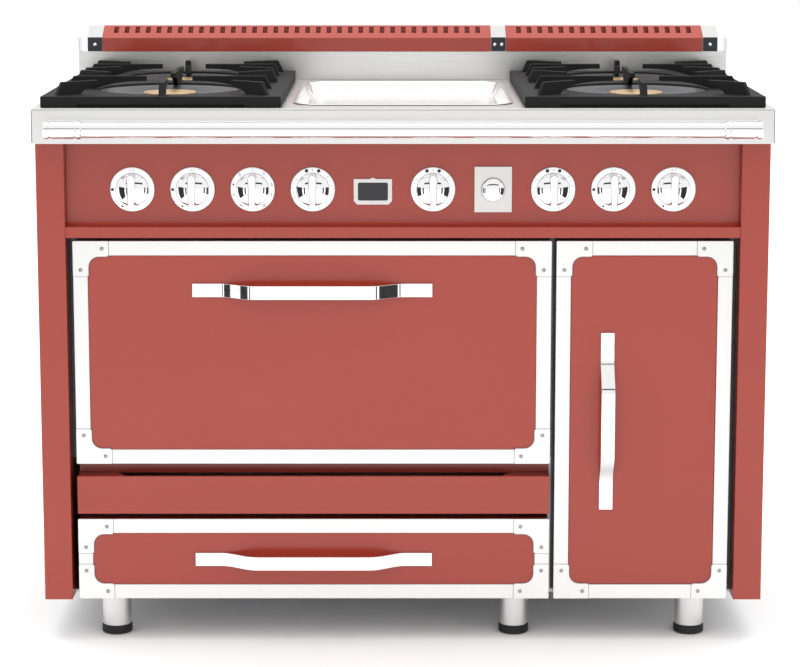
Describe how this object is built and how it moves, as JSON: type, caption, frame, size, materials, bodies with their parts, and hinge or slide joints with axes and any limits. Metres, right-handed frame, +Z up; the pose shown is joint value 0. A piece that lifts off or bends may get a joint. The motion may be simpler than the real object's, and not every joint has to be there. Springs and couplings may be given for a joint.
{
  "type": "freestanding gas range",
  "caption": "Wide freestanding gas range with painted posts, a drop-down oven door, a narrow side oven, a storage drawer, finned burner grates and a sunken griddle.",
  "frame": {"origin": "on the floor, under the middle of the whole appliance's bounding box", "axes": "+X to the right across the front, -Y out of the front towards the cook, +Z up"},
  "size_m": [1.216, 0.686, 1.0133],
  "materials": {
    "painted_red": "gloss enamel paint",
    "stainless": "fine brushed stainless steel",
    "polished_steel": "polished stainless steel",
    "chrome": "bright chrome plate",
    "cast_iron": "matt black enamelled cast iron",
    "brass": "turned brass",
    "enamel": "dark porcelain enamel",
    "galvanised": "galvanised sheet",
    "faceplate": "satin white plate"
  },
  "bodies": {
    "range": {"side_panel_left": "painted_red", "side_panel_right": "painted_red", "chassis": "galvanised", "back_panel": "galvanised", "gas_manifold": "brass", "foot_front_left": "stainless", "foot_front_middle": "stainless", "foot_front_right": "stainless", "foot_rear_left": "stainless", "foot_rear_middle": "stainless", "foot_rear_right": "stainless", "oven_cavity": "enamel", "oven_rack": "chrome", "side_oven_cavity": "enamel", "side_oven_rack": "chrome", "vent_panel": "painted_red", "control_panel": "painted_red", "switch_plate": "faceplate", "hob_deck": "stainless", "towel_bar": "chrome", "griddle": "polished_steel", "burner_front_left": "cast_iron", "burner_rear_left": "cast_iron", "burner_front_right": "cast_iron", "burner_rear_right": "cast_iron", "burner_cap_front_left": "brass", "burner_cap_rear_left": "brass", "burner_cap_front_right": "brass", "burner_cap_rear_right": "brass", "grate_left": "cast_iron", "grate_right": "cast_iron", "riser": "stainless", "vent_bar_left": "painted_red", "vent_bar_right": "painted_red", "bezel_burner_left_rear": "chrome", "bezel_burner_left_front": "chrome", "bezel_oven_mode": "chrome", "bezel_oven_heat": "chrome", "bezel_griddle": "chrome", "bezel_side_oven": "chrome", "bezel_burner_right_front": "chrome", "bezel_burner_right_rear": "chrome"},
    "oven_door": {"oven_door": "painted_red", "oven_door_trim": "polished_steel", "oven_door_handle": "polished_steel"},
    "side_door": {"side_door": "painted_red", "side_door_trim": "polished_steel", "side_door_handle": "polished_steel"},
    "drawer": {"drawer": "painted_red", "drawer_trim": "polished_steel", "drawer_handle": "polished_steel"},
    "knob_burner_left_rear": {"knob_burner_left_rear": "chrome"},
    "knob_burner_left_front": {"knob_burner_left_front": "chrome"},
    "knob_oven_mode": {"knob_oven_mode": "chrome"},
    "knob_oven_heat": {"knob_oven_heat": "chrome"},
    "knob_griddle": {"knob_griddle": "chrome"},
    "knob_side_oven": {"knob_side_oven": "chrome"},
    "knob_burner_right_front": {"knob_burner_right_front": "chrome"},
    "knob_burner_right_rear": {"knob_burner_right_rear": "chrome"},
    "switch_button": {"switch_button": "chrome"}
  },
  "joints": [
    {"name": "oven_door_hinge", "type": "hinge", "parent": "range", "child": "oven_door", "pos_m": [-0.15125, -0.237, 0.316], "axis": [1, 0, 0], "range_deg": [0, 90]},
    {"name": "side_door_hinge", "type": "hinge", "parent": "range", "child": "side_door", "pos_m": [0.5385, -0.243, 0.3815], "axis": [0, 0, 1], "range_deg": [0, 95]},
    {"name": "drawer_slide", "type": "slide", "parent": "range", "child": "drawer", "axis": [0, -1, 0], "range_m": [0, 0.4]},
    {"name": "knob_burner_left_rear_turn", "type": "hinge", "parent": "range", "child": "knob_burner_left_rear", "pos_m": [-0.4503, -0.2506, 0.774], "axis": [0, -1, 0], "range_deg": [0, 150]},
    {"name": "knob_burner_left_front_turn", "type": "hinge", "parent": "range", "child": "knob_burner_left_front", "pos_m": [-0.35023, -0.2506, 0.774], "axis": [0, -1, 0], "range_deg": [0, 150]},
    {"name": "knob_oven_mode_turn", "type": "hinge", "parent": "range", "child": "knob_oven_mode", "pos_m": [-0.25017, -0.2506, 0.774], "axis": [0, 1, 0], "range_deg": [0, 324]},
    {"name": "knob_oven_heat_turn", "type": "hinge", "parent": "range", "child": "knob_oven_heat", "pos_m": [-0.1501, -0.2506, 0.774], "axis": [0, 1, 0], "range_deg": [0, 300]},
    {"name": "knob_griddle_turn", "type": "hinge", "parent": "range", "child": "knob_griddle", "pos_m": [0.05003, -0.2506, 0.774], "axis": [0, 1, 0], "range_deg": [0, 300]},
    {"name": "knob_side_oven_turn", "type": "hinge", "parent": "range", "child": "knob_side_oven", "pos_m": [0.25017, -0.2506, 0.774], "axis": [0, 1, 0], "range_deg": [0, 300]},
    {"name": "knob_burner_right_front_turn", "type": "hinge", "parent": "range", "child": "knob_burner_right_front", "pos_m": [0.35023, -0.2506, 0.774], "axis": [0, -1, 0], "range_deg": [0, 150]},
    {"name": "knob_burner_right_rear_turn", "type": "hinge", "parent": "range", "child": "knob_burner_right_rear", "pos_m": [0.4503, -0.2506, 0.774], "axis": [0, -1, 0], "range_deg": [0, 150]},
    {"name": "switch_button_press", "type": "slide", "parent": "range", "child": "switch_button", "axis": [0, 1, 0], "range_m": [0, 0.003], "stiffness_N_per_m": 400, "springref_m": -0.001}
  ]
}
